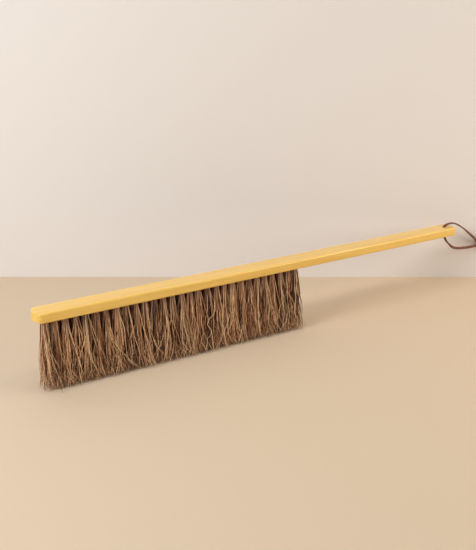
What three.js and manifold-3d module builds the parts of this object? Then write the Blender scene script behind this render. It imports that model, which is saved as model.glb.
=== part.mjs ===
// A wooden snow brush: a lacquered stick, two rows of brown fibre tufts set in the underside of its
// head half, and a flat leather lace through a hole near the handle end, knotted into a hanging loop.
// Sizes are in millimetres and +Z is up. The origin lies under the middle of the stick, on the
// surface that the bristle tips stand on. +X points to the handle end, and -Y is the front.

import * as THREE from 'three';
import { mergeGeometries, mergeVertices } from 'three/addons/utils/BufferGeometryUtils.js';
import Module from 'manifold-3d';

const wasm = await Module();
wasm.setup();

// Stick
const STICK_LENGTH = 640;
const STICK_WIDTH = 27;
const STICK_HEIGHT = 12;
const EDGE_RADIUS = 2.5;
const EDGE_SEGMENTS = 4;
const HEAD_BOW_RADIUS = 20; // the head end is bowed outwards, seen from above
const HEAD_CORNER_RADIUS = 5; // corners seen from above
const HANDLE_CORNER_RADIUS = 4.5;
const ARC_STEPS = 8;

// Tufts: each is a bundle of fibre doubled into a blind hole
const BRISTLE_LENGTH = 82;
const TUFT_PITCH = 12;
const FRONT_TUFTS = 29;
const BACK_TUFTS = 28;
const HEAD_MARGIN = 10; // head end to the middle of the first front tuft
const ROW_OFFSET = 5.75; // middle line of the stick to each row
const TUFT_HOLE_RADIUS = 3.5;
const TUFT_HOLE_DEPTH = 9;
const TUFT_HOLE_SIDES = 10;
const ROOT_SIDES = 5;
const FIT_GAP = 0.3; // between pieces that lie against each other

// Slice of backing that ties a row's tufts together, let in flush with the underside
const SLICE_WIDTH = 7.4;
const SLICE_THICKNESS = 1;
const SLICE_MARGIN = 3.7; // from the middle of a row's first and last tufts to the slice's ends

// Bristle strands: one in the middle of a tuft and a ring around it
const RING_STRANDS = 6;
const RING_RADIUS = 2.2;
const STRAND_SIDES = 3;
const STRAND_STEPS = 2;
const STRAND_ROOT_RADIUS = 0.95;
const STRAND_TIP_RADIUS = 0.8;
const TIP_SPREAD = 2.1; // how much wider a tuft is at its tips
const HEAD_LEAN = 0.9; // both rows lean outwards by this much at the tips, by the head end
const HANDLE_LEAN = 6; // the same, by the handle, whose weight presses the tips apart
const HANDLE_FLARE = 3; // the rows' last tips also lean out along the stick
const FLARE_DECAY = 0.63; // how much of the flare is left one tuft further in
const TIP_SCATTER = 0.4;
const TIP_RAGGED = 2.5; // the shortest strands end this far above the surface
const SPLAY_POWER = 1.5; // strands leave the wood straight and bend outwards lower down

// Lace
const LACE_WIDTH = 4;
const LACE_THICKNESS = 2;
const LACE_CORNER = 0.5;
const LACE_STEP = 5; // length of one straight stretch of the lace
const LACE_HOLE_RADIUS = 3;
const LACE_HOLE_INSET = 14; // hole axis to the handle end
const LACE_HOLE_SIDES = 24;
const MOUTH_ROUNDING = 1.2; // the hole's mouths are eased
const MOUTH_STEPS = 3;

// Knot
const KNOT_LENGTH = 11;
const KNOT_RADIUS = 5.5;
const KNOT_END_RADIUS = 3.6;
const KNOT_STEPS = 8;
const KNOT_SIDES = 16;
const KNOT_DIP_DEGREES = 12; // the knot's axis points this much below level
const TAIL_BURIED = 2; // length of each tail inside the knot

// Places worked out from the driving sizes
const HEAD_END = -STICK_LENGTH / 2;
const HANDLE_END = STICK_LENGTH / 2;
const UNDERSIDE = BRISTLE_LENGTH;
const STICK_MIDDLE = UNDERSIDE + STICK_HEIGHT / 2;
const LACE_HOLE_X = HANDLE_END - LACE_HOLE_INSET;
const FRONT_ROW = { count: FRONT_TUFTS, startX: HEAD_END + HEAD_MARGIN, side: -1 };
const BACK_ROW = { count: BACK_TUFTS, startX: HEAD_END + HEAD_MARGIN + TUFT_PITCH, side: 1 };
const ROWS = [FRONT_ROW, BACK_ROW];

// The lace's route in the plane through the stick's axis, as x from the hole and z, chosen by eye.
// Both legs start inside the hole, half the fit gap from its middle, and end at the knot.
const UPPER_ROUTE = [
  [0, STICK_MIDDLE + FIT_GAP / 2],
  [0, 91.5],
  [0.5, 94],
  [2.4, 95.9],
  [7.9, 97.2],
  [15.4, 97.3],
  [20, 96.6],
  [24.4, 95.3],
  [31.6, 91.8],
  [37.3, 88.6],
  [43, 85.2],
  [48.6, 81.2],
  [54.3, 77],
  [61, 72.2],
  [68, 67],
  [73.4, 62.2],
  [77, 57.8],
  [79.9, 55.95],
];
const LOWER_ROUTE = [
  [0, STICK_MIDDLE - FIT_GAP / 2],
  [0.2, 84],
  [1.2, 80.8],
  [2.8, 78.2],
  [4.3, 75.8],
  [6.4, 72.3],
  [9.7, 68.8],
  [13.8, 65.2],
  [18.8, 61.2],
  [24.5, 57.9],
  [28.6, 56.5],
  [33, 55.5],
  [42.5, 54.1],
  [50, 53.3],
  [57.8, 52.8],
  [66.5, 52.5],
  [75.9, 52.35],
  [79.2, 52.65],
];
const KNOT_START = new THREE.Vector3(80, 0, 54.2);
const DROOPING_TAIL = [
  [0, 0, 1],
  [6, -0.5, 0.4],
  [12, -2, -2.4],
  [18, -4.5, -7],
];
const SIDE_TAIL = [
  [0, 0, -1.2],
  [6, 0.5, -2.6],
  [12, 3, -6.4],
  [16, 5.5, -11],
];

// A step of the golden ratio gives each strand its own repeatable scatter between -1 and 1.
const GOLDEN_STEP = (Math.sqrt(5) - 1) / 2;

function scatter(index) {
  return 2 * ((index * GOLDEN_STEP) % 1) - 1;
}

function toSolid(geometry) {
  const bare = geometry.clone();
  bare.deleteAttribute('normal');
  bare.deleteAttribute('uv');
  const closed = mergeVertices(bare);
  const vertProperties = new Float32Array(closed.attributes.position.array);
  const triVerts = new Uint32Array(closed.index.array);
  return new wasm.Manifold(new wasm.Mesh({ numProp: 3, vertProperties, triVerts }));
}

function toGeometry(solid) {
  const { vertProperties, triVerts } = solid.getMesh();
  const geometry = new THREE.BufferGeometry();
  geometry.setAttribute('position', new THREE.BufferAttribute(vertProperties, 3));
  geometry.setIndex(new THREE.BufferAttribute(triVerts, 1));
  geometry.computeVertexNormals();
  return geometry;
}

function tuftX(row, index) {
  return row.startX + index * TUFT_PITCH;
}

// The slot for a row's slice, cut up from below the underside
function sliceSlot(row) {
  const length = (row.count - 1) * TUFT_PITCH + 2 * (SLICE_MARGIN + FIT_GAP);
  const depth = SLICE_THICKNESS + FIT_GAP;
  const slot = new THREE.BoxGeometry(length, SLICE_WIDTH + 2 * FIT_GAP, 2 * depth);
  slot.translate(tuftX(row, (row.count - 1) / 2), row.side * ROW_OFFSET, UNDERSIDE);
  return slot;
}

function tuftHole(row, index) {
  const hole = new THREE.CylinderGeometry(
    TUFT_HOLE_RADIUS,
    TUFT_HOLE_RADIUS,
    TUFT_HOLE_DEPTH,
    TUFT_HOLE_SIDES,
  );
  hole.rotateX(Math.PI / 2);
  hole.translate(tuftX(row, index), row.side * ROW_OFFSET, UNDERSIDE + TUFT_HOLE_DEPTH / 2);
  return hole;
}

// The hole's wall, with both mouths eased by quarter rounds, as one turned cutter
function laceHoleCutter() {
  const mouthRadius = LACE_HOLE_RADIUS + MOUTH_ROUNDING;
  const half = STICK_HEIGHT / 2;
  const past = half + MOUTH_ROUNDING;
  const upperWall = [];
  for (let i = 0; i <= MOUTH_STEPS; i += 1) {
    const angle = (Math.PI / 2) * (i / MOUTH_STEPS);
    const radius = mouthRadius - MOUTH_ROUNDING * Math.cos(angle);
    upperWall.push(new THREE.Vector2(radius, half - MOUTH_ROUNDING * (1 - Math.sin(angle))));
  }
  upperWall.push(new THREE.Vector2(mouthRadius, past), new THREE.Vector2(0, past));
  const lowerWall = upperWall.map(({ x, y }) => new THREE.Vector2(x, -y)).reverse();
  const cutter = new THREE.LatheGeometry([...lowerWall, ...upperWall], LACE_HOLE_SIDES);
  cutter.rotateX(Math.PI / 2);
  cutter.translate(LACE_HOLE_X, 0, STICK_MIDDLE);
  return cutter;
}

// Points on an arc seen from above
function arc(centreX, centreY, radius, start, end) {
  return Array.from({ length: ARC_STEPS + 1 }, (_, step) => {
    const angle = THREE.MathUtils.lerp(start, end, step / ARC_STEPS);
    return new THREE.Vector2(centreX + radius * Math.cos(angle), centreY + radius * Math.sin(angle));
  });
}

// The stick seen from above, counterclockwise from the handle end. The bowed head end leaves out
// the two points it shares with its corners.
function stickOutline() {
  const quarter = Math.PI / 2;
  const handleX = HANDLE_END - HANDLE_CORNER_RADIUS;
  const handleY = STICK_WIDTH / 2 - HANDLE_CORNER_RADIUS;
  const bowX = HEAD_END + HEAD_BOW_RADIUS;
  const headY = STICK_WIDTH / 2 - HEAD_CORNER_RADIUS;
  const bowToCorner = HEAD_BOW_RADIUS - HEAD_CORNER_RADIUS;
  const halfBow = Math.asin(headY / bowToCorner);
  const headX = bowX - bowToCorner * Math.cos(halfBow);
  return new THREE.Shape([
    ...arc(handleX, handleY, HANDLE_CORNER_RADIUS, 0, quarter),
    ...arc(headX, headY, HEAD_CORNER_RADIUS, quarter, 2 * quarter - halfBow),
    ...arc(bowX, 0, HEAD_BOW_RADIUS, 2 * quarter - halfBow, 2 * quarter + halfBow).slice(1, -1),
    ...arc(headX, -headY, HEAD_CORNER_RADIUS, 2 * quarter + halfBow, 3 * quarter),
    ...arc(handleX, -handleY, HANDLE_CORNER_RADIUS, 3 * quarter, 4 * quarter),
  ]);
}

function stickGeometry() {
  const block = new THREE.ExtrudeGeometry(stickOutline(), {
    depth: STICK_HEIGHT - 2 * EDGE_RADIUS,
    bevelThickness: EDGE_RADIUS,
    bevelSize: EDGE_RADIUS,
    bevelOffset: -EDGE_RADIUS,
    bevelSegments: EDGE_SEGMENTS,
  });
  block.translate(0, 0, UNDERSIDE + EDGE_RADIUS);
  let solid = toSolid(block).subtract(toSolid(laceHoleCutter()));
  for (const row of ROWS) {
    const holes = Array.from({ length: row.count }, (_, index) => tuftHole(row, index));
    solid = solid.subtract(toSolid(sliceSlot(row)));
    solid = solid.subtract(toSolid(mergeGeometries(holes)));
  }
  return toGeometry(solid);
}

// Points around an upright axis, counterclockwise from above
function ring(centre, radius, sides, turn) {
  return Array.from({ length: sides }, (_, i) => {
    const angle = turn + (2 * Math.PI * i) / sides;
    const outwards = new THREE.Vector3(Math.cos(angle), Math.sin(angle), 0);
    return outwards.multiplyScalar(radius).add(centre);
  });
}

// Triangle corners of one wall panel, seen from outside
function panel(lowLeft, lowRight, highRight, highLeft) {
  return [lowLeft, lowRight, highRight, lowLeft, highRight, highLeft];
}

// Triangle corners of the walls between stacked rings, listed from the lowest up
function walls(rings) {
  return rings.slice(1).flatMap((upper, level) => {
    const lower = rings[level];
    return lower.flatMap((point, i) => {
      const next = (i + 1) % lower.length;
      return panel(point, lower[next], upper[next], upper[i]);
    });
  });
}

// Triangle corners of a level face with holes, seen from above or from below
function levelFace(outline, holes, seenFromAbove) {
  const points = [outline, ...holes].flat();
  const faces = THREE.ShapeUtils.triangulateShape(outline, holes);
  return faces.flatMap(([a, b, c]) => {
    const order = seenFromAbove ? [a, b, c] : [a, c, b];
    return order.map((corner) => points[corner]);
  });
}

// The rings of one fibre strand, from its flat-cut tip up to its root in the slice
function strandRings(root, tip, turn) {
  return Array.from({ length: STRAND_STEPS + 1 }, (_, step) => {
    const along = 1 - step / STRAND_STEPS;
    const splay = along ** SPLAY_POWER;
    const centre = new THREE.Vector3(
      THREE.MathUtils.lerp(root.x, tip.x, splay),
      THREE.MathUtils.lerp(root.y, tip.y, splay),
      THREE.MathUtils.lerp(root.z, tip.z, along),
    );
    const radius = THREE.MathUtils.lerp(STRAND_ROOT_RADIUS, STRAND_TIP_RADIUS, along);
    return ring(centre, radius, STRAND_SIDES, turn);
  });
}

// How far a tuft's tips lean along the stick and outwards from it
function tipLean(row, index) {
  const last = row.count - 1;
  const alongStick = HANDLE_FLARE * FLARE_DECAY ** (last - index);
  const outwards = THREE.MathUtils.lerp(HEAD_LEAN, HANDLE_LEAN, index / last);
  return new THREE.Vector3(alongStick, row.side * outwards, 0);
}

// The strands of one tuft, each turned and scattered a little differently
function tuftStrands(row, index) {
  const foot = new THREE.Vector3(tuftX(row, index), row.side * ROW_OFFSET, UNDERSIDE);
  const lean = tipLean(row, index);
  const turn = Math.PI * scatter(index + 1);
  const starts = [foot, ...ring(foot, RING_RADIUS, RING_STRANDS, turn)];
  return starts.map((root, i) => {
    const seed = starts.length * index + i + 1;
    const tip = foot.clone().lerp(root, TIP_SPREAD).add(lean);
    tip.x += TIP_SCATTER * scatter(2 * seed);
    tip.y += TIP_SCATTER * scatter(3 * seed);
    tip.z = Math.max(0, TIP_RAGGED * scatter(5 * seed));
    return strandRings(root, tip, Math.PI * scatter(seed));
  });
}

// One tuft with its stretch of the slice: the doubled root above, the strands below
function tuftTriangles(row, index) {
  const isFirst = index === 0;
  const isLast = index === row.count - 1;
  const x = tuftX(row, index);
  const lowX = x - (isFirst ? SLICE_MARGIN : TUFT_PITCH / 2);
  const highX = x + (isLast ? SLICE_MARGIN : TUFT_PITCH / 2);
  const y = row.side * ROW_OFFSET;
  const outlineAt = (z) => [
    new THREE.Vector3(lowX, y - SLICE_WIDTH / 2, z),
    new THREE.Vector3(highX, y - SLICE_WIDTH / 2, z),
    new THREE.Vector3(highX, y + SLICE_WIDTH / 2, z),
    new THREE.Vector3(lowX, y + SLICE_WIDTH / 2, z),
  ];
  const below = outlineAt(UNDERSIDE);
  const above = outlineAt(UNDERSIDE + SLICE_THICKNESS);
  const [frontSide, handleEnd, backSide, headEnd] = below.map((corner, i) => {
    const next = (i + 1) % below.length;
    return panel(corner, below[next], above[next], above[i]);
  });
  const strands = tuftStrands(row, index);
  const rootHeights = [UNDERSIDE + SLICE_THICKNESS, UNDERSIDE + TUFT_HOLE_DEPTH - FIT_GAP];
  const doubledRoot = rootHeights.map((z) => {
    const centre = new THREE.Vector3(x, y, z);
    return ring(centre, TUFT_HOLE_RADIUS - 2 * FIT_GAP, ROOT_SIDES, scatter(index + 1));
  });
  return [
    levelFace(below, strands.map((rings) => rings.at(-1)), false),
    levelFace(above, [doubledRoot[0]], true),
    frontSide,
    backSide,
    isFirst ? headEnd : [],
    isLast ? handleEnd : [],
    walls(doubledRoot),
    levelFace(doubledRoot[1], [], true),
    strands.flatMap(walls),
    strands.flatMap((rings) => levelFace(rings[0], [], false)),
  ].flat();
}

function tuftRowGeometry(row) {
  const tufts = Array.from({ length: row.count }, (_, index) => tuftTriangles(row, index));
  const closed = mergeVertices(new THREE.BufferGeometry().setFromPoints(tufts.flat()));
  closed.computeVertexNormals();
  return closed;
}

// The lace's flat section: its width lies along the first axis
function laceSection() {
  const halfWidth = LACE_WIDTH / 2;
  const halfThickness = LACE_THICKNESS / 2;
  const section = new THREE.Shape();
  section.moveTo(halfWidth, LACE_CORNER - halfThickness);
  section.lineTo(halfWidth, halfThickness - LACE_CORNER);
  section.lineTo(halfWidth - LACE_CORNER, halfThickness);
  section.lineTo(LACE_CORNER - halfWidth, halfThickness);
  section.lineTo(-halfWidth, halfThickness - LACE_CORNER);
  section.lineTo(-halfWidth, LACE_CORNER - halfThickness);
  section.lineTo(LACE_CORNER - halfWidth, -halfThickness);
  section.lineTo(halfWidth - LACE_CORNER, -halfThickness);
  section.closePath();
  return section;
}

function laceAlong(points) {
  const path = new THREE.CatmullRomCurve3(points);
  const steps = Math.ceil(path.getLength() / LACE_STEP);
  return new THREE.ExtrudeGeometry(laceSection(), { steps, extrudePath: path, bevelEnabled: false });
}

function laceLegGeometry(route) {
  return laceAlong(route.map(([x, z]) => new THREE.Vector3(LACE_HOLE_X + x, 0, z)));
}

// A barrel-shaped lump with two cut tails
function knotGeometry() {
  const profile = [new THREE.Vector2(0, 0)];
  for (let i = 0; i <= KNOT_STEPS; i += 1) {
    const along = i / KNOT_STEPS;
    const swell = (KNOT_RADIUS - KNOT_END_RADIUS) * Math.sin(Math.PI * along);
    profile.push(new THREE.Vector2(KNOT_END_RADIUS + swell, along * KNOT_LENGTH));
  }
  profile.push(new THREE.Vector2(0, KNOT_LENGTH));
  const barrel = new THREE.LatheGeometry(profile, KNOT_SIDES);
  barrel.rotateZ(-Math.PI / 2);
  const tailStart = KNOT_LENGTH - TAIL_BURIED;
  let solid = toSolid(barrel);
  for (const tail of [DROOPING_TAIL, SIDE_TAIL]) {
    const points = tail.map(([x, y, z]) => new THREE.Vector3(tailStart + x, y, z));
    solid = solid.add(toSolid(laceAlong(points)));
  }
  return toGeometry(solid);
}

const lacqueredWood = new THREE.MeshStandardMaterial({ color: 0xe3b465, roughness: 0.3, metalness: 0 });
const brownFibre = new THREE.MeshStandardMaterial({ color: 0x8a6548, roughness: 0.9, metalness: 0 });
const brownLeather = new THREE.MeshStandardMaterial({ color: 0x70442f, roughness: 0.7, metalness: 0 });

function namedMesh(name, geometry, material) {
  const mesh = new THREE.Mesh(geometry, material);
  mesh.name = name;
  return mesh;
}

const snowBrush = new THREE.Group();
snowBrush.add(namedMesh('stick', stickGeometry(), lacqueredWood));
snowBrush.add(namedMesh('tuft_row_front', tuftRowGeometry(FRONT_ROW), brownFibre));
snowBrush.add(namedMesh('tuft_row_back', tuftRowGeometry(BACK_ROW), brownFibre));

const laceLoop = new THREE.Group();
laceLoop.add(namedMesh('lace_upper', laceLegGeometry(UPPER_ROUTE), brownLeather));
laceLoop.add(namedMesh('lace_lower', laceLegGeometry(LOWER_ROUTE), brownLeather));
const knot = namedMesh('lace_knot', knotGeometry(), brownLeather);
knot.position.copy(KNOT_START).add(new THREE.Vector3(LACE_HOLE_X, 0, 0));
knot.rotation.y = THREE.MathUtils.degToRad(KNOT_DIP_DEGREES);
laceLoop.add(knot);
snowBrush.add(laceLoop);

export default snowBrush;
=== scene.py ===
import math
import bmesh
import bpy
import numpy as np
from mathutils import Matrix, Vector
from mathutils.geometry import interpolate_bezier


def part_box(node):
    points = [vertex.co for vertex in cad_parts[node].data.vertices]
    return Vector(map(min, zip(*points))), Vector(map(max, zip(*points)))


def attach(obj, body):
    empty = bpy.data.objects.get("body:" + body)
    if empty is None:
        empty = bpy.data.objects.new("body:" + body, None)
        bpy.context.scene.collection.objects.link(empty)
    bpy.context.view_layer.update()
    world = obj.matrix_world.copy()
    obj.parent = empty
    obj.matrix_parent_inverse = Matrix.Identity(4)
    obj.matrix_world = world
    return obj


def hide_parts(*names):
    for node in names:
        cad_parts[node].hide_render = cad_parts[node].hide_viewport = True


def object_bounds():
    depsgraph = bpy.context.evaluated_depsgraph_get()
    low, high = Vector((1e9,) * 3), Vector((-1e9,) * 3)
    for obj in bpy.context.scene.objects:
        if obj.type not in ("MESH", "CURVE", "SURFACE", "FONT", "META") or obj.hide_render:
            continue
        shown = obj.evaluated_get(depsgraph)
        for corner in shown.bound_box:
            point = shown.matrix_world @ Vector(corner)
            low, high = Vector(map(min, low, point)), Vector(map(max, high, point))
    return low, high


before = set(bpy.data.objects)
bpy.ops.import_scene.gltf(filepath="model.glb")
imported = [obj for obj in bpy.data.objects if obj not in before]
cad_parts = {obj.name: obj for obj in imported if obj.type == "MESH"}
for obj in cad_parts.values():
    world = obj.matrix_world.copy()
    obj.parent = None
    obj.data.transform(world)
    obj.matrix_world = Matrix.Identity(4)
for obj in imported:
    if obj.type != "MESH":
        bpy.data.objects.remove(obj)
cad_low, cad_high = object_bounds()

# Sizes of the stick, in metres
MM = 0.001
STICK_LOW, STICK_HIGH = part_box("stick")
STICK_MIDDLE = (STICK_LOW + STICK_HIGH) / 2
STICK_SIZE = STICK_HIGH - STICK_LOW
STICK_EDGE_RADIUS = 2.5 * MM
STICK_EDGE_SEGMENTS = 7
HEAD_BOW_RADIUS = 20 * MM
HEAD_BOW_CUTS = 10
HEAD_CORNER_REACH = 2.4 * MM
HANDLE_CORNER_REACH = 4.5 * MM
CORNER_SEGMENTS = 8
CORNER_MARGIN = 1 * MM
SHARP_ANGLE = math.radians(40)
UNDERSIDE = STICK_LOW.z

# Tuft holes: a drill starts its margin outside the wood
TUFT_PITCH = 12 * MM
FRONT_TUFTS = 29
BACK_TUFTS = 28
FIRST_TUFT_X = STICK_LOW.x + 10 * MM
ROW_OFFSET = 5.75 * MM
TUFT_HOLE_RADIUS = 3.5 * MM
TUFT_HOLE_DEPTH = 9 * MM
TUFT_HOLE_SIDES = 20
DRILL_MARGIN = 2 * MM

# Lace and its hole
LACE_HOLE_X = STICK_HIGH.x - 14 * MM
LACE_HOLE_RADIUS = 3 * MM
LACE_HOLE_SIDES = 32
HOLE_MOUTH_ROUNDING = 1.2 * MM
HOLE_MOUTH_SEGMENTS = 5
LEVEL_TOLERANCE = 1e-6
CIRCLE_TOLERANCE = 1e-5
LACE_WIDTH = 4 * MM
LACE_THICKNESS = 2 * MM
LACE_CORNER = 0.6 * MM
LACE_CORNER_SEGMENTS = 3
LACE_STEP = 1.0 * MM
CURVE_HANDLE_SHARE = 1 / 6

# How far the lace's legs twist, and between which shares of their length
LACE_TWIST = math.radians(70)
UPPER_TWIST = (0.33, 0.85)
LOWER_TWIST = (0.14, 0.45)

# Lace routes: distance along the stick from the hole, then height, in millimetres
UPPER_ROUTE = [
    (0, 88.15), (0, 91.5), (0.5, 94), (2.4, 95.9), (7.9, 97.2), (15.4, 97.3), (20, 96.6),
    (24.4, 95.3), (31.6, 91.8), (37.3, 88.6), (43, 85.2), (48.6, 81.2), (54.3, 77), (61, 72.2),
    (68, 67), (73.4, 62.2), (77, 57.8), (79.9, 55.95), (82.5, 55.2),
]
LOWER_ROUTE = [
    (0, 87.85), (0.2, 84), (1.2, 80.8), (2.8, 78.2), (4.3, 75.8), (6.4, 72.3), (9.7, 68.8),
    (13.8, 65.2), (18.8, 61.2), (24.5, 57.9), (28.6, 56.5), (33, 55.5), (42.5, 54.1),
    (50, 53.3), (57.8, 52.8), (66.5, 52.5), (75.9, 52.35), (79.2, 52.65), (82, 51.9),
]

# Lace knot, along its own axis from where the two legs meet
KNOT_START = Vector((LACE_HOLE_X + 80 * MM, 0, 54.2 * MM))
KNOT_DIP = math.radians(12)
KNOT_LENGTH = 11 * MM
KNOT_CORE_RADIUS = 3.5 * MM
KNOT_CORE_SIDES = 24
KNOT_CORE_RINGS = 14
WRAP_RADIUS = 4.35 * MM
WRAP_TURNS = 2.1
WRAP_STEPS = 70
WRAP_START = 2.6 * MM
WRAP_ADVANCE = 5.8 * MM
WRAP_SLANT = 0.7 * MM
WRAP_TUCK_SHARE = 0.14
WRAP_TUCK_DEPTH = 0.5
TAIL_START = 9 * MM
TAIL_OVERLAP = 5 * MM
DROOPING_TAIL = [(0, 0, 1), (6, -0.5, 0.4), (12, -2, -2.4), (18, -4.5, -7)]
SIDE_TAIL = [(0, 0, -1.2), (6, 0.5, -2.6), (12, 3, -6.4), (16, 5.5, -11)]

# Fibres of a tuft
FIBRES_PER_TUFT = 90
LOCKS_PER_TUFT = 18
FIBRE_POINTS = 13
FIBRE_SIDES = 4
FIBRE_RADIUS_LOW = 0.25 * MM
FIBRE_RADIUS_HIGH = 0.52 * MM
FIBRE_TIP_SHARE = 0.6
TAPER_BEND = 2
ROOT_DEPTH = 4 * MM
ROOT_RADIUS = 3.15 * MM
TIP_RADIUS = 6.4 * MM
OPENING_SHARE = 0.23
LEAN_BEND = 1.4
WANDER_BEND = 1.2
LOCK_WANDER = (2 * MM, 1 * MM)
FIBRE_WANDER = (2.2 * MM, 1.2 * MM)
WIDE_SHARE = 0.4
WIDE_WANDER = (3, 1)
LOCK_SWAY = 1.4 * MM
LOCK_TURNS = (0.6, 1.4)
FIBRE_SWAY = 1.4 * MM
FIBRE_TURNS = (1.1, 3.2)
LOOSE_FROM = 0.72
LOOSE_BEND = 2
TIP_CURL = (5.2 * MM, 2.4 * MM)
CURL_LIFT = 0.6

# Single fibres that cross in front of the others
STRAY_SHARE = 0.09
STRAY_REACH = 22 * MM
STRAY_OUTWARDS = (1 * MM, 3 * MM)
STRAY_THICKNESS = 0.9
STRAY_LEAVES = (0.08, 0.6)
STRAY_PAST_HEAD = 4 * MM

# Ends of the fibres
LOWEST_TIP = 0.3 * MM
HEAD_RAGGED = 2.4 * MM
HANDLE_RAGGED = 1.6 * MM
SHORT_SHARE = 0.1
SHORT_TIPS = (4 * MM, 34 * MM)
HEAD_LEAN = 0.5 * MM
HANDLE_LEAN = 6.5 * MM
ROW_END_REACH = 4.5 * MM
PAST_END_SHARE = 0.4
FARTHEST_OUT = 4 * MM

# Tones of the fibres, from 0 for dark to 1 for light: painted shade makes those facing the other row
# darker and those on the outside paler
TONE_MIDDLE = 0.25
PAINTED_SHADE_TONE = 0.22
LOCK_TONE_SPREAD = 0.3
FIBRE_TONE_SPREAD = 0.26
LIGHT_SHARE = 0.25
LIGHT_TONES = (0.85, 1)

# Camera of the photograph
CAMERA_PLACE = (-0.5421, -0.7593, 0.4)
CAMERA_HEADING = math.radians(32.554)
CAMERA_DIP = math.radians(19.204)
CAMERA_LENS = 50

# Stage
FLOOR_REACH = 3.0
WALL_DISTANCE = 1.14
ROOM_LIGHT = 0.15


def shade(red, green, blue):
    """A shader colour from values of 0 to 255 as they look on a screen."""
    def linear(value):
        share = value / 255
        return share / 12.92 if share <= 0.04045 else ((share + 0.055) / 1.055) ** 2.4
    return (linear(red), linear(green), linear(blue), 1)


# Material helpers

def new_material(name):
    """A material with its shader, and the list of its nodes to add to."""
    material = bpy.data.materials.new(name)
    material.use_nodes = True
    nodes = material.node_tree.nodes
    return material, nodes, nodes["Principled BSDF"]


def add_node(nodes, kind, **settings):
    """A new node with some of its settings changed."""
    node = nodes.new(kind)
    for name, value in settings.items():
        setattr(node, name, value)
    return node


def join(material, output, target):
    """Leads one socket to another."""
    material.node_tree.links.new(output, target)


def stretched_noise(material, nodes, coordinates, density, detail, distortion=0):
    """Noise with a given number of features along each axis, per metre or per unit of a map."""
    mapping = add_node(nodes, "ShaderNodeMapping")
    mapping.inputs["Scale"].default_value = density
    join(material, coordinates, mapping.inputs["Vector"])
    noise = add_node(nodes, "ShaderNodeTexNoise")
    noise.inputs["Scale"].default_value = 1
    noise.inputs["Detail"].default_value = detail
    noise.inputs["Distortion"].default_value = distortion
    join(material, mapping.outputs["Vector"], noise.inputs["Vector"])
    return noise.outputs["Fac"]


def ramp(material, nodes, value, stops):
    """Colours spread over a value, as pairs of place and colour."""
    node = add_node(nodes, "ShaderNodeValToRGB")
    elements = node.color_ramp.elements
    while len(elements) < len(stops):
        elements.new(1)
    for element, (place, tint) in zip(elements, stops):
        element.position = place
        element.color = tint
    join(material, value, node.inputs["Fac"])
    return node.outputs["Color"]


def spread(material, nodes, value, low, high, new_low, new_high):
    """Moves a value from one range to another."""
    node = add_node(nodes, "ShaderNodeMapRange")
    node.inputs["From Min"].default_value = low
    node.inputs["From Max"].default_value = high
    node.inputs["To Min"].default_value = new_low
    node.inputs["To Max"].default_value = new_high
    join(material, value, node.inputs["Value"])
    return node.outputs["Result"]


def tinted(material, nodes, base, tint, share, how="MULTIPLY"):
    """A colour laid over another by a share that may vary."""
    node = add_node(nodes, "ShaderNodeMix", data_type="RGBA", blend_type=how)
    colour_inputs = [socket for socket in node.inputs if socket.type == "RGBA"]
    join(material, base, colour_inputs[0])
    colour_inputs[1].default_value = tint
    join(material, share, node.inputs["Factor"])
    return [socket for socket in node.outputs if socket.type == "RGBA"][0]


def raise_surface(material, nodes, height, shader, strength, distance):
    """Small relief from a value."""
    bump = add_node(nodes, "ShaderNodeBump")
    bump.inputs["Strength"].default_value = strength
    bump.inputs["Distance"].default_value = distance
    join(material, height, bump.inputs["Height"])
    join(material, bump.outputs["Normal"], shader.inputs["Normal"])


# Materials

def lacquered_wood():
    """Pale yellow lacquer over straight-grained wood."""
    material, nodes, shader = new_material("lacquered_wood")
    place = add_node(nodes, "ShaderNodeTexCoord").outputs["Object"]
    figure = stretched_noise(material, nodes, place, density=(5, 110, 110), detail=3, distortion=0.6)
    streaks = stretched_noise(material, nodes, place, density=(14, 700, 700), detail=4)
    pores = stretched_noise(material, nodes, place, density=(90, 1900, 1900), detail=2)
    colour = ramp(material, nodes, figure, [
        (0.3, shade(241, 195, 94)),
        (0.5, shade(246, 203, 103)),
        (0.72, shade(250, 211, 115)),
    ])
    streak_share = spread(material, nodes, streaks, low=0.45, high=0.75, new_low=0, new_high=0.35)
    colour = tinted(material, nodes, colour, shade(232, 212, 178), streak_share)
    pore_share = spread(material, nodes, pores, low=0.62, high=0.75, new_low=0, new_high=0.4)
    colour = tinted(material, nodes, colour, shade(214, 186, 142), pore_share)
    join(material, colour, shader.inputs["Base Color"])
    haze = stretched_noise(material, nodes, place, density=(20, 60, 60), detail=3)
    gloss = spread(material, nodes, haze, low=0.3, high=0.7, new_low=0.28, new_high=0.42)
    join(material, gloss, shader.inputs["Roughness"])
    shader.inputs["Specular IOR Level"].default_value = 0.3
    shader.inputs["Coat Weight"].default_value = 0.65
    shader.inputs["Coat Roughness"].default_value = 0.1
    raise_surface(material, nodes, streaks, shader, strength=0.25, distance=0.06 * MM)
    return material


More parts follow.
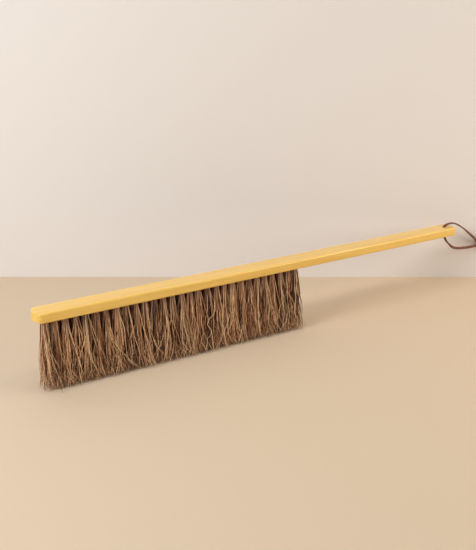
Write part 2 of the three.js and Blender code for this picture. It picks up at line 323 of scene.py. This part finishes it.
def plant_fibre():
    """Coarse brown fibre: each one has its own tone, with a painted grey sheen near its root, and
    paler at its tip.
    """
    material, nodes, shader = new_material("plant_fibre")
    chart = add_node(nodes, "ShaderNodeUVMap", uv_map="fibre_map").outputs["UV"]
    split = add_node(nodes, "ShaderNodeSeparateXYZ")
    join(material, chart, split.inputs["Vector"])
    tone = split.outputs["X"]
    along = split.outputs["Y"]
    colour = ramp(material, nodes, tone, [
        (0.0, shade(52, 28, 16)),
        (0.25, shade(112, 66, 40)),
        (0.5, shade(176, 117, 79)),
        (0.75, shade(226, 169, 121)),
        (1.0, shade(253, 221, 179)),
    ])
    patches = stretched_noise(material, nodes, chart, density=(90, 9, 1), detail=2)
    patch_share = spread(material, nodes, patches, low=0.4, high=0.7, new_low=0, new_high=0.5)
    colour = tinted(material, nodes, colour, shade(196, 172, 152), patch_share)
    # painted sheen: the fibres are tinted grey near their roots
    painted_root_sheen = spread(material, nodes, along, low=0.06, high=0.3, new_low=0.5, new_high=0)
    colour = tinted(material, nodes, colour, shade(160, 131, 121), painted_root_sheen, "MIX")
    tip_share = spread(material, nodes, along, low=0.72, high=1, new_low=0, new_high=0.22)
    colour = tinted(material, nodes, colour, shade(222, 181, 148), tip_share, "MIX")
    join(material, colour, shader.inputs["Base Color"])
    rough = spread(material, nodes, patches, low=0.3, high=0.7, new_low=0.5, new_high=0.75)
    join(material, rough, shader.inputs["Roughness"])
    return material


def brown_leather():
    """Smooth brown lace leather with a fine grain."""
    material, nodes, shader = new_material("brown_leather")
    place = add_node(nodes, "ShaderNodeTexCoord").outputs["Object"]
    tone = stretched_noise(material, nodes, place, density=(120, 120, 120), detail=3)
    grain = stretched_noise(material, nodes, place, density=(2400, 2400, 2400), detail=3)
    colour = ramp(material, nodes, tone, [
        (0.3, shade(104, 57, 38)),
        (0.55, shade(122, 71, 49)),
        (0.75, shade(137, 85, 60)),
    ])
    grain_share = spread(material, nodes, grain, low=0.45, high=0.7, new_low=0, new_high=0.5)
    colour = tinted(material, nodes, colour, shade(180, 160, 150), grain_share)
    join(material, colour, shader.inputs["Base Color"])
    rough = spread(material, nodes, tone, low=0.3, high=0.7, new_low=0.5, new_high=0.7)
    join(material, rough, shader.inputs["Roughness"])
    raise_surface(material, nodes, grain, shader, strength=0.4, distance=0.2 * MM)
    return material


def plain_surface(name, tint):
    """A dull stage finish that shows only from its front."""
    material, nodes, shader = new_material(name)
    shader.inputs["Base Color"].default_value = tint
    shader.inputs["Roughness"].default_value = 0.9
    shader.inputs["Specular IOR Level"].default_value = 0.2
    facing = add_node(nodes, "ShaderNodeNewGeometry")
    mix = add_node(nodes, "ShaderNodeMixShader")
    clear = add_node(nodes, "ShaderNodeBsdfTransparent")
    join(material, facing.outputs["Backfacing"], mix.inputs["Fac"])
    join(material, shader.outputs["BSDF"], mix.inputs[1])
    join(material, clear.outputs["BSDF"], mix.inputs[2])
    join(material, mix.outputs["Shader"], nodes["Material Output"].inputs["Surface"])
    return material


# Piece helpers

def new_object(name, mesh, material):
    """An object at the origin with one material."""
    made = bpy.data.objects.new(name, mesh)
    bpy.context.collection.objects.link(made)
    mesh.materials.clear()
    mesh.materials.append(material)
    return made


def mesh_from(bm, name):
    """A mesh of a finished bmesh."""
    mesh = bpy.data.meshes.new(name)
    bm.to_mesh(mesh)
    bm.free()
    return mesh


def place_piece(piece, body, node):
    """Sets a piece on the body it moves with, in place of a plain solid."""
    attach(piece, body)
    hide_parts(node)


def round_off(bm, geometry, radius, segments, kind="EDGES"):
    """Rounds edges or corners off."""
    bmesh.ops.bevel(
        bm, geom=geometry, offset=radius, segments=segments, profile=0.5, affect=kind, material=-1
    )


# Camera

def set_camera():
    """The photograph's camera."""
    camera = bpy.data.objects.new("camera", bpy.data.cameras.new("camera"))
    bpy.context.collection.objects.link(camera)
    camera.data.lens = CAMERA_LENS
    camera.location = CAMERA_PLACE
    camera.rotation_euler = (math.pi / 2 - CAMERA_DIP, 0, -CAMERA_HEADING)
    bpy.context.scene.camera = camera


# Lace

def smooth_route(points, step):
    """Points a step apart or less, on one smooth curve through the given ones."""
    ends = [2 * points[0] - points[1], *points, 2 * points[-1] - points[-2]]
    route = [points[0]]
    for before, start, end, after in zip(ends, ends[1:], ends[2:], ends[3:]):
        count = max(2, math.ceil((end - start).length / step) + 1)
        first_handle = start + (end - before) * CURVE_HANDLE_SHARE
        second_handle = end - (after - start) * CURVE_HANDLE_SHARE
        route += interpolate_bezier(start, first_handle, second_handle, end, count)[1:]
    return route


def heading_at(route, index):
    """Which way a route runs at one of its points."""
    ahead = route[min(index + 1, len(route) - 1)]
    behind = route[max(index - 1, 0)]
    return (ahead - behind).normalized()


def stations_along(route, flat_sides):
    """How the lace's section stands at each point: its flat side, thickness and direction."""
    stations = []
    for index, (point, flat) in enumerate(zip(route, flat_sides)):
        forward = heading_at(route, index)
        thin = forward.cross(flat).normalized()
        turn = Matrix((thin.cross(forward), thin, forward)).transposed()
        stations.append(Matrix.Translation(point) @ turn.to_4x4())
    return stations


def draw_lace(bm, stations):
    """Draws the lace's rounded flat section out along its stations."""
    corners = bmesh.ops.create_grid(bm, x_segments=1, y_segments=1, size=0.5)["verts"]
    bmesh.ops.scale(bm, vec=(LACE_WIDTH, LACE_THICKNESS, 1), verts=corners)
    round_off(bm, corners, LACE_CORNER, LACE_CORNER_SEGMENTS, "VERTICES")
    bm.faces.ensure_lookup_table()
    section = bm.faces[-1]
    bmesh.ops.transform(bm, matrix=stations[0], verts=section.verts)
    for here, onward in zip(stations, stations[1:]):
        grown = bmesh.ops.extrude_discrete_faces(bm, faces=[section])["faces"]
        section = grown[0]
        bmesh.ops.transform(bm, matrix=onward @ here.inverted(), verts=section.verts)


def close_start(bm):
    """Closes the open first ends of drawn laces."""
    open_edges = [edge for edge in bm.edges if edge.is_boundary]
    bmesh.ops.contextual_create(bm, geom=open_edges)
    bmesh.ops.recalc_face_normals(bm, faces=bm.faces)


def ease(share):
    """A smooth rise from 0 to 1."""
    held = min(1, max(0, share))
    return held * held * (3 - 2 * held)


def twisted_sides(route, twist):
    """The lace's flat side along a leg: level at first, then twisted towards the front."""
    twist_from, twist_to = twist
    sides = []
    for index in range(len(route)):
        share = index / (len(route) - 1)
        grown = ease((share - twist_from) / (twist_to - twist_from))
        turn = Matrix.Rotation(LACE_TWIST * grown, 3, heading_at(route, index))
        sides.append(turn @ Vector((0, 1, 0)))
    return sides


def make_leg(name, node, flat_route, twist, leather):
    """One leg of the lace, from inside the hole to the knot."""
    points = [Vector((LACE_HOLE_X + along * MM, 0, height * MM)) for along, height in flat_route]
    route = smooth_route(points, LACE_STEP)
    bm = bmesh.new()
    draw_lace(bm, stations_along(route, twisted_sides(route, twist)))
    close_start(bm)
    mesh = mesh_from(bm, name)
    mesh.shade_smooth()
    leg = new_object(name, mesh, leather)
    place_piece(leg, "lace_loop", node)
    return leg, route


def add_knot_core(bm):
    """The knot's middle, a ball drawn out along its axis."""
    bmesh.ops.create_uvsphere(bm, u_segments=KNOT_CORE_SIDES, v_segments=KNOT_CORE_RINGS, radius=1)
    lengthways = Matrix.Rotation(math.pi / 2, 4, "Y")
    size = Matrix.Diagonal((KNOT_LENGTH / 2, KNOT_CORE_RADIUS, KNOT_CORE_RADIUS, 1))
    middle = Matrix.Translation((KNOT_LENGTH / 2, 0, 0))
    bmesh.ops.transform(bm, matrix=middle @ size @ lengthways, verts=bm.verts)


def add_knot_wrap(bm):
    """The lace wound round the core, with both ends tucked in."""
    wrap = []
    for step in range(WRAP_STEPS + 1):
        share = step / WRAP_STEPS
        angle = share * WRAP_TURNS * math.tau
        from_middle = abs(share - 0.5) * 2
        tucked = max(0, from_middle - (1 - WRAP_TUCK_SHARE)) / WRAP_TUCK_SHARE
        outward = Vector((0, math.cos(angle), math.sin(angle)))
        along = WRAP_START + WRAP_ADVANCE * share + WRAP_SLANT * math.sin(angle)
        wrap.append(Vector((along, 0, 0)) + outward * WRAP_RADIUS * (1 - WRAP_TUCK_DEPTH * tucked))
    draw_lace(bm, stations_along(wrap, [Vector((1, 0, 0))] * len(wrap)))


def add_tail(bm, tail):
    """One cut end of the lace, starting inside the knot."""
    points = [Vector((TAIL_START, 0, 0)) + Vector(point) * MM for point in tail]
    points.insert(0, Vector((TAIL_START - TAIL_OVERLAP, 0, points[0].z)))
    route = smooth_route(points, LACE_STEP)
    draw_lace(bm, stations_along(route, [Vector((0, 1, 0))] * len(route)))


def make_knot(leather):
    """The knot: a core, the lace wound round it, and its two cut tails."""
    bm = bmesh.new()
    add_knot_core(bm)
    add_knot_wrap(bm)
    add_tail(bm, DROOPING_TAIL)
    add_tail(bm, SIDE_TAIL)
    close_start(bm)
    dip = Matrix.Rotation(KNOT_DIP, 4, "Y")
    bmesh.ops.transform(bm, matrix=Matrix.Translation(KNOT_START) @ dip, verts=bm.verts)
    mesh = mesh_from(bm, "knot")
    mesh.shade_smooth()
    knot = new_object("knot", mesh, leather)
    place_piece(knot, "lace_loop", "lace_knot")
    return knot


def make_lace():
    """Both legs and the knot."""
    leather = brown_leather()
    knot = make_knot(leather)
    legs = [
        ("lace_upper_leg", "lace_upper", UPPER_ROUTE, UPPER_TWIST, STICK_HIGH.z),
        ("lace_lower_leg", "lace_lower", LOWER_ROUTE, LOWER_TWIST, STICK_LOW.z),
    ]
    for name, node, flat_route, twist, mouth in legs:
        leg, route = make_leg(name, node, flat_route, twist, leather)


# Stick

def tuft_places(count, first_x, row_y):
    """Where the tufts of a row stand."""
    return [Vector((first_x + index * TUFT_PITCH, row_y)) for index in range(count)]


FRONT_ROW = tuft_places(FRONT_TUFTS, FIRST_TUFT_X, -ROW_OFFSET)
BACK_ROW = tuft_places(BACK_TUFTS, FIRST_TUFT_X + TUFT_PITCH, ROW_OFFSET)


def drill(bm, centre_x, centre_y, low, high, radius, segments):
    """A drill's round solid between two heights."""
    stand = Matrix.Translation((centre_x, centre_y, (low + high) / 2))
    bmesh.ops.create_cone(
        bm, cap_ends=True, segments=segments, radius1=radius, radius2=radius, depth=high - low,
        matrix=stand,
    )


def cut_holes(stick):
    """Drills the tuft holes and the lace hole."""
    bm = bmesh.new()
    below = UNDERSIDE - DRILL_MARGIN
    above = STICK_HIGH.z + DRILL_MARGIN
    tuft_top = UNDERSIDE + TUFT_HOLE_DEPTH
    for tuft in FRONT_ROW + BACK_ROW:
        drill(bm, tuft.x, tuft.y, below, tuft_top, TUFT_HOLE_RADIUS, TUFT_HOLE_SIDES)
    drill(bm, LACE_HOLE_X, 0, below, above, LACE_HOLE_RADIUS, LACE_HOLE_SIDES)
    drills = bpy.data.objects.new("drills", mesh_from(bm, "drills"))
    bpy.context.collection.objects.link(drills)
    cut = stick.modifiers.new("holes", "BOOLEAN")
    cut.object = drills
    cut.solver = "EXACT"
    evaluated = stick.evaluated_get(bpy.context.evaluated_depsgraph_get())
    drilled = bpy.data.meshes.new_from_object(evaluated)
    stick.modifiers.clear()
    stick.data = drilled
    bpy.data.objects.remove(drills)


def on_lace_hole(point):
    """Whether a point lies on the wall of the lace hole."""
    return abs(math.hypot(point.x - LACE_HOLE_X, point.y) - LACE_HOLE_RADIUS) < CIRCLE_TOLERANCE


def ease_lace_hole(stick):
    """Rounds the two mouths of the lace hole."""
    bm = bmesh.new()
    bm.from_mesh(stick.data)
    rims = []
    for edge in bm.edges:
        start, end = (vertex.co for vertex in edge.verts)
        level = abs(start.z - end.z) < LEVEL_TOLERANCE
        if level and on_lace_hole(start) and on_lace_hole(end):
            rims.append(edge)
    round_off(bm, rims, HOLE_MOUTH_ROUNDING, HOLE_MOUTH_SEGMENTS)
    bm.to_mesh(stick.data)
    bm.free()


def is_upright(edge):
    """Whether an edge of the plain block runs from its underside to its top."""
    return edge.verts[0].co.z * edge.verts[1].co.z < 0


def bow_head_end(bm):
    """Bows the block's flat head end outwards."""
    across = [
        edge for edge in bm.edges
        if not is_upright(edge) and all(vertex.co.x < 0 for vertex in edge.verts)
    ]
    bmesh.ops.subdivide_edges(bm, edges=across, cuts=HEAD_BOW_CUTS, use_grid_fill=True)
    for vertex in bm.verts:
        if vertex.co.x < 0:
            vertex.co.x += HEAD_BOW_RADIUS - math.sqrt(HEAD_BOW_RADIUS ** 2 - vertex.co.y ** 2)


def corner_edges(bm, end):
    """The two upright corner edges of the block's head end, -1, or of its handle end, 1."""
    outermost = STICK_SIZE.y / 2 - CORNER_MARGIN
    return [
        edge for edge in bm.edges
        if is_upright(edge) and edge.verts[0].co.x * end > 0 and abs(edge.verts[0].co.y) > outermost
    ]


def make_stick():
    """The wooden stick with rounded edges, blind tuft holes and a lace hole."""
    bm = bmesh.new()
    bmesh.ops.create_cube(bm, size=1)
    bmesh.ops.scale(bm, vec=STICK_SIZE, verts=bm.verts)
    bow_head_end(bm)
    round_off(bm, corner_edges(bm, -1), HEAD_CORNER_REACH, CORNER_SEGMENTS)
    round_off(bm, corner_edges(bm, 1), HANDLE_CORNER_REACH, CORNER_SEGMENTS)
    level_edges = [edge for edge in bm.edges if not is_upright(edge)]
    round_off(bm, level_edges, STICK_EDGE_RADIUS, STICK_EDGE_SEGMENTS)
    bmesh.ops.translate(bm, vec=STICK_MIDDLE, verts=bm.verts)
    stick = new_object("wooden_stick", mesh_from(bm, "wooden_stick"), lacquered_wood())
    cut_holes(stick)
    ease_lace_hole(stick)
    stick.data.shade_smooth()
    stick.data.set_sharp_from_angle(angle=SHARP_ANGLE)
    stick.modifiers.new("even_faces", "WEIGHTED_NORMAL").keep_sharp = True
    place_piece(stick, "brush", "stick")


# Bristles

def waves(chance, count, height, turn_range, along):
    """Sideways waves that grow from nothing at the root."""
    turns = chance.uniform(*turn_range, (count, 1))
    phase = chance.uniform(0, math.tau, (count, 1))
    swing = np.sin(math.tau * turns * along + phase) - np.sin(phase)
    side = chance.normal(0, height, (count, 1, 2))
    return side * (swing * along)[:, :, None]


def gather_locks(disc):
    """Which lock each fibre belongs to, by the nearest of the first few fibres."""
    gaps = np.linalg.norm(disc[:, None] - disc[None, :LOCKS_PER_TUFT], axis=2)
    return np.argmin(gaps, axis=1)


def tuft_width(along):
    """Half the width of a tuft on its way down: narrow in the hole, then opening."""
    mouth = ROOT_DEPTH / (UNDERSIDE + ROOT_DEPTH)
    outside = np.clip((along - mouth) / (1 - mouth), 0, 1)
    opening = (1 - np.exp(-outside / OPENING_SHARE)) / (1 - math.exp(-1 / OPENING_SHARE))
    return ROOT_RADIUS + (TIP_RADIUS - ROOT_RADIUS) * opening


def spread_fibres(chance, disc, lock, along):
    """How far fibres run from the middle of their tuft, seen from above."""
    count = len(disc)
    width = tuft_width(along)
    in_lock = (disc - disc[lock]) * ROOT_RADIUS
    run = disc[lock][:, None] * width[:, None] + in_lock[:, None]
    lock_wander = chance.normal(0, LOCK_WANDER, (LOCKS_PER_TUFT, 2))
    wide = chance.random((count, 1)) < WIDE_SHARE
    own_wander = chance.normal(0, FIBRE_WANDER, (count, 2)) * np.where(wide, WIDE_WANDER, 1)
    run = run + (lock_wander[lock] + own_wander)[:, None] * along[:, None] ** WANDER_BEND
    run = run + waves(chance, LOCKS_PER_TUFT, LOCK_SWAY, LOCK_TURNS, along)[lock]
    return run + waves(chance, count, FIBRE_SWAY, FIBRE_TURNS, along)


def hold_in_row(places):
    """Draws fibres that run past the ends of the rows most of the way back."""
    head_limit = FRONT_ROW[0].x - ROW_END_REACH
    handle_limit = FRONT_ROW[-1].x + ROW_END_REACH
    held = np.clip(places, head_limit, handle_limit)
    return held + (places - held) * PAST_END_SHARE


def cross_over(chance, stray, outwards, along):
    """The sideways run of the few fibres that cross in front of the others."""
    count = len(stray)
    reach = np.stack([
        chance.uniform(-STRAY_REACH, STRAY_REACH, count),
        outwards * chance.uniform(*STRAY_OUTWARDS, count),
    ], 1)
    leaves_at = chance.uniform(*STRAY_LEAVES, (count, 1))
    leaving = np.clip((along - leaves_at) / (1 - leaves_at), 0, 1) * stray[:, None]
    return reach[:, None] * leaving[:, :, None]


def tip_heights(chance, curl, ragged):
    """How high over the floor the fibres end."""
    count = len(curl)
    lift = CURL_LIFT * np.linalg.norm(curl, axis=1)
    heights = LOWEST_TIP + np.abs(chance.normal(0, ragged, count)) + lift * chance.random(count)
    short = chance.random(count) < SHORT_SHARE
    return np.where(short, chance.uniform(*SHORT_TIPS, count), heights)


def pick_tones(chance, outside, lock, stray):
    """A tone for every fibre: painted shade darkens it towards the other row and pales it towards
    the outside, alike in a lock, and a few light ones.
    """
    count = len(lock)
    lock_tone = chance.normal(0, LOCK_TONE_SPREAD, LOCKS_PER_TUFT)
    own_tone = chance.normal(0, FIBRE_TONE_SPREAD, count)
    # painted shade: fibres facing the other row are darker, those on the outside paler
    tone = np.clip(TONE_MIDDLE + PAINTED_SHADE_TONE * outside + lock_tone[lock] + own_tone, 0, 1)
    light = stray | ((chance.random(count) < LIGHT_SHARE) & (outside > 0))
    return np.where(light, chance.uniform(*LIGHT_TONES, count), tone)


def grow_tuft(chance, tuft, outwards):
    """Paths, thicknesses and tones of one tuft's fibres, from inside its hole to the tips."""
    count = FIBRES_PER_TUFT
    along = np.linspace(0, 1, FIBRE_POINTS)
    row_share = (tuft.x - FRONT_ROW[0].x) / (FRONT_ROW[-1].x - FRONT_ROW[0].x)
    angle = chance.uniform(0, math.tau, count)
    disc = np.stack([np.cos(angle), np.sin(angle)], 1) * np.sqrt(chance.random(count))[:, None]
    lock = gather_locks(disc)
    outside = disc[:, 1] * outwards
    stray = (chance.random(count) < STRAY_SHARE) & (outside > 0)
    curl = chance.normal(0, TIP_CURL, (count, 2))
    loosening = np.clip((along - LOOSE_FROM) / (1 - LOOSE_FROM), 0, 1) ** LOOSE_BEND
    lean = np.array((0, outwards * (HEAD_LEAN + (HANDLE_LEAN - HEAD_LEAN) * row_share)))

    flat = np.array(tuft) + spread_fibres(chance, disc, lock, along)
    flat = flat + lean * along[:, None] ** LEAN_BEND + curl[:, None] * loosening[:, None]
    flat[:, :, 0] = hold_in_row(flat[:, :, 0])
    flat = flat + cross_over(chance, stray, outwards, along)
    flat[:, :, 0] = np.maximum(flat[:, :, 0], FRONT_ROW[0].x - ROW_END_REACH - STRAY_PAST_HEAD)
    flat[:, :, 1] = np.clip(flat[:, :, 1], cad_low.y - FARTHEST_OUT, cad_high.y + FARTHEST_OUT)

    ragged = HEAD_RAGGED + (HANDLE_RAGGED - HEAD_RAGGED) * row_share
    root_height = UNDERSIDE + ROOT_DEPTH
    height = root_height + (tip_heights(chance, curl, ragged) - root_height)[:, None] * along
    paths = np.concatenate([flat, height[:, :, None]], axis=2)
    radius = chance.uniform(FIBRE_RADIUS_LOW, FIBRE_RADIUS_HIGH, count)
    radius = radius * np.where(stray, STRAY_THICKNESS, 1)
    thickness = radius[:, None] * (1 - (1 - FIBRE_TIP_SHARE) * along ** TAPER_BEND)
    return paths, thickness, pick_tones(chance, outside, lock, stray)


def fibres_mesh(name, paths, thickness):
    """Draws every fibre as a thin tapering tube."""
    curve = bpy.data.curves.new(name, "CURVE")
    curve.dimensions = "3D"
    curve.bevel_depth = 1
    curve.bevel_resolution = 0
    curve.use_fill_caps = False
    for path, radii in zip(paths, thickness):
        spline = curve.splines.new("POLY")
        spline.points.add(FIBRE_POINTS - 1)
        spline.points.foreach_set("co", np.insert(path, 3, 1, axis=1).ravel())
        spline.points.foreach_set("radius", radii)
    drawn = bpy.data.objects.new(name, curve)
    bpy.context.collection.objects.link(drawn)
    evaluated = drawn.evaluated_get(bpy.context.evaluated_depsgraph_get())
    mesh = bpy.data.meshes.new_from_object(evaluated)
    bpy.data.objects.remove(drawn)
    bm = bmesh.new()
    bm.from_mesh(mesh)
    open_edges = [edge for edge in bm.edges if edge.is_boundary]
    bmesh.ops.holes_fill(bm, edges=open_edges, sides=FIBRE_SIDES)
    bmesh.ops.recalc_face_normals(bm, faces=bm.faces)
    bm.to_mesh(mesh)
    bm.free()
    return mesh


def chart_fibres(mesh, tone):
    """Gives every fibre its tone, and its place from root to tip, as a map for the material."""
    fibre_points = np.arange(len(mesh.vertices)) // FIBRE_SIDES
    fibre = fibre_points // FIBRE_POINTS
    along = (fibre_points % FIBRE_POINTS) / (FIBRE_POINTS - 1)
    corners = np.zeros(len(mesh.loops), dtype=np.int32)
    mesh.loops.foreach_get("vertex_index", corners)
    chart = np.stack([tone[fibre[corners]], along[corners]], 1).ravel()
    for name in ("fibre_map", "OFBake"):
        mesh.uv_layers.new(name=name).data.foreach_set("uv", chart)


def make_bristles():
    """The two rows of fibre tufts, each in two pieces."""
    material = plant_fibre()
    front_half = FRONT_TUFTS // 2
    back_half = BACK_TUFTS // 2
    pieces = [
        ("bristles_front_head", "tuft_row_front", FRONT_ROW[:front_half], -1, 11),
        ("bristles_front_handle", "tuft_row_front", FRONT_ROW[front_half:], -1, 12),
        ("bristles_back_head", "tuft_row_back", BACK_ROW[:back_half], 1, 13),
        ("bristles_back_handle", "tuft_row_back", BACK_ROW[back_half:], 1, 14),
    ]
    for name, node, tufts, outwards, seed in pieces:
        chance = np.random.default_rng(seed)
        grown = [grow_tuft(chance, tuft, outwards) for tuft in tufts]
        paths, thickness, tone = (np.concatenate(parts) for parts in zip(*grown))
        mesh = fibres_mesh(name, paths, thickness)
        chart_fibres(mesh, tone)
        mesh.shade_smooth()
        place_piece(new_object(name, mesh, material), "brush", node)


# Stage and light

def make_stage():
    """A plain floor and a plain backdrop."""
    heading = Matrix.Rotation(-CAMERA_HEADING, 4, "Z")
    below_camera = Matrix.Translation((CAMERA_PLACE[0], CAMERA_PLACE[1], 0))
    bm = bmesh.new()
    bmesh.ops.create_grid(bm, x_segments=1, y_segments=1, size=FLOOR_REACH)
    floor_finish = plain_surface("floor", shade(217, 198, 174))
    floor = new_object("floor", mesh_from(bm, "floor"), floor_finish)
    bm = bmesh.new()
    bmesh.ops.create_grid(bm, x_segments=1, y_segments=1, size=FLOOR_REACH)
    upright = Matrix.Rotation(math.pi / 2, 4, "X")
    stand = Matrix.Translation((0, WALL_DISTANCE, FLOOR_REACH)) @ upright
    bmesh.ops.transform(bm, matrix=below_camera @ heading @ stand, verts=bm.verts)
    wall_finish = plain_surface("backdrop", shade(242, 238, 237))
    backdrop = new_object("backdrop", mesh_from(bm, "backdrop"), wall_finish)


def soft_lamp(name, place, target, width, height, watts, tint):
    """A soft box aimed at a point."""
    lamp = bpy.data.objects.new(name, bpy.data.lights.new(name, "AREA"))
    bpy.context.collection.objects.link(lamp)
    lamp.data.shape = "RECTANGLE"
    lamp.data.size = width
    lamp.data.size_y = height
    lamp.data.energy = watts
    lamp.data.color = tint
    lamp.location = place
    lamp.rotation_euler = (Vector(target) - Vector(place)).to_track_quat("-Z", "Y").to_euler()


def set_light():
    """Soft light overhead, a key by the head, a glint for the wood's edge, a fill and room light."""
    soft_lamp(
        "overhead", place=(-0.35, -0.3, 1.6), target=(-0.1, 0, 0.08),
        width=1.4, height=1.4, watts=7.6, tint=(0.98, 1, 1),
    )
    soft_lamp(
        "key", place=(-1.2, -0.15, 0.65), target=(-0.15, 0, 0.08),
        width=0.45, height=0.4, watts=8, tint=(1, 1, 0.98),
    )
    soft_lamp(
        "edge_light", place=(0.9, -0.36, 1.0), target=(0.1, 0, 0.09),
        width=0.2, height=0.2, watts=2.6, tint=(1, 0.86, 0.66),
    )
    soft_lamp(
        "fill", place=(0.9, -1.0, 0.55), target=(0.1, 0, 0.08),
        width=0.9, height=0.6, watts=7.5, tint=(1, 0.9, 0.76),
    )
    world = bpy.data.worlds.new("room")
    bpy.context.scene.world = world
    world.use_nodes = True
    back = world.node_tree.nodes["Background"]
    back.inputs["Color"].default_value = shade(252, 246, 240)
    back.inputs["Strength"].default_value = ROOM_LIGHT


bpy.context.scene.view_settings.view_transform = "Standard"
set_camera()
make_lace()
make_stick()
make_bristles()
make_stage()
set_light()
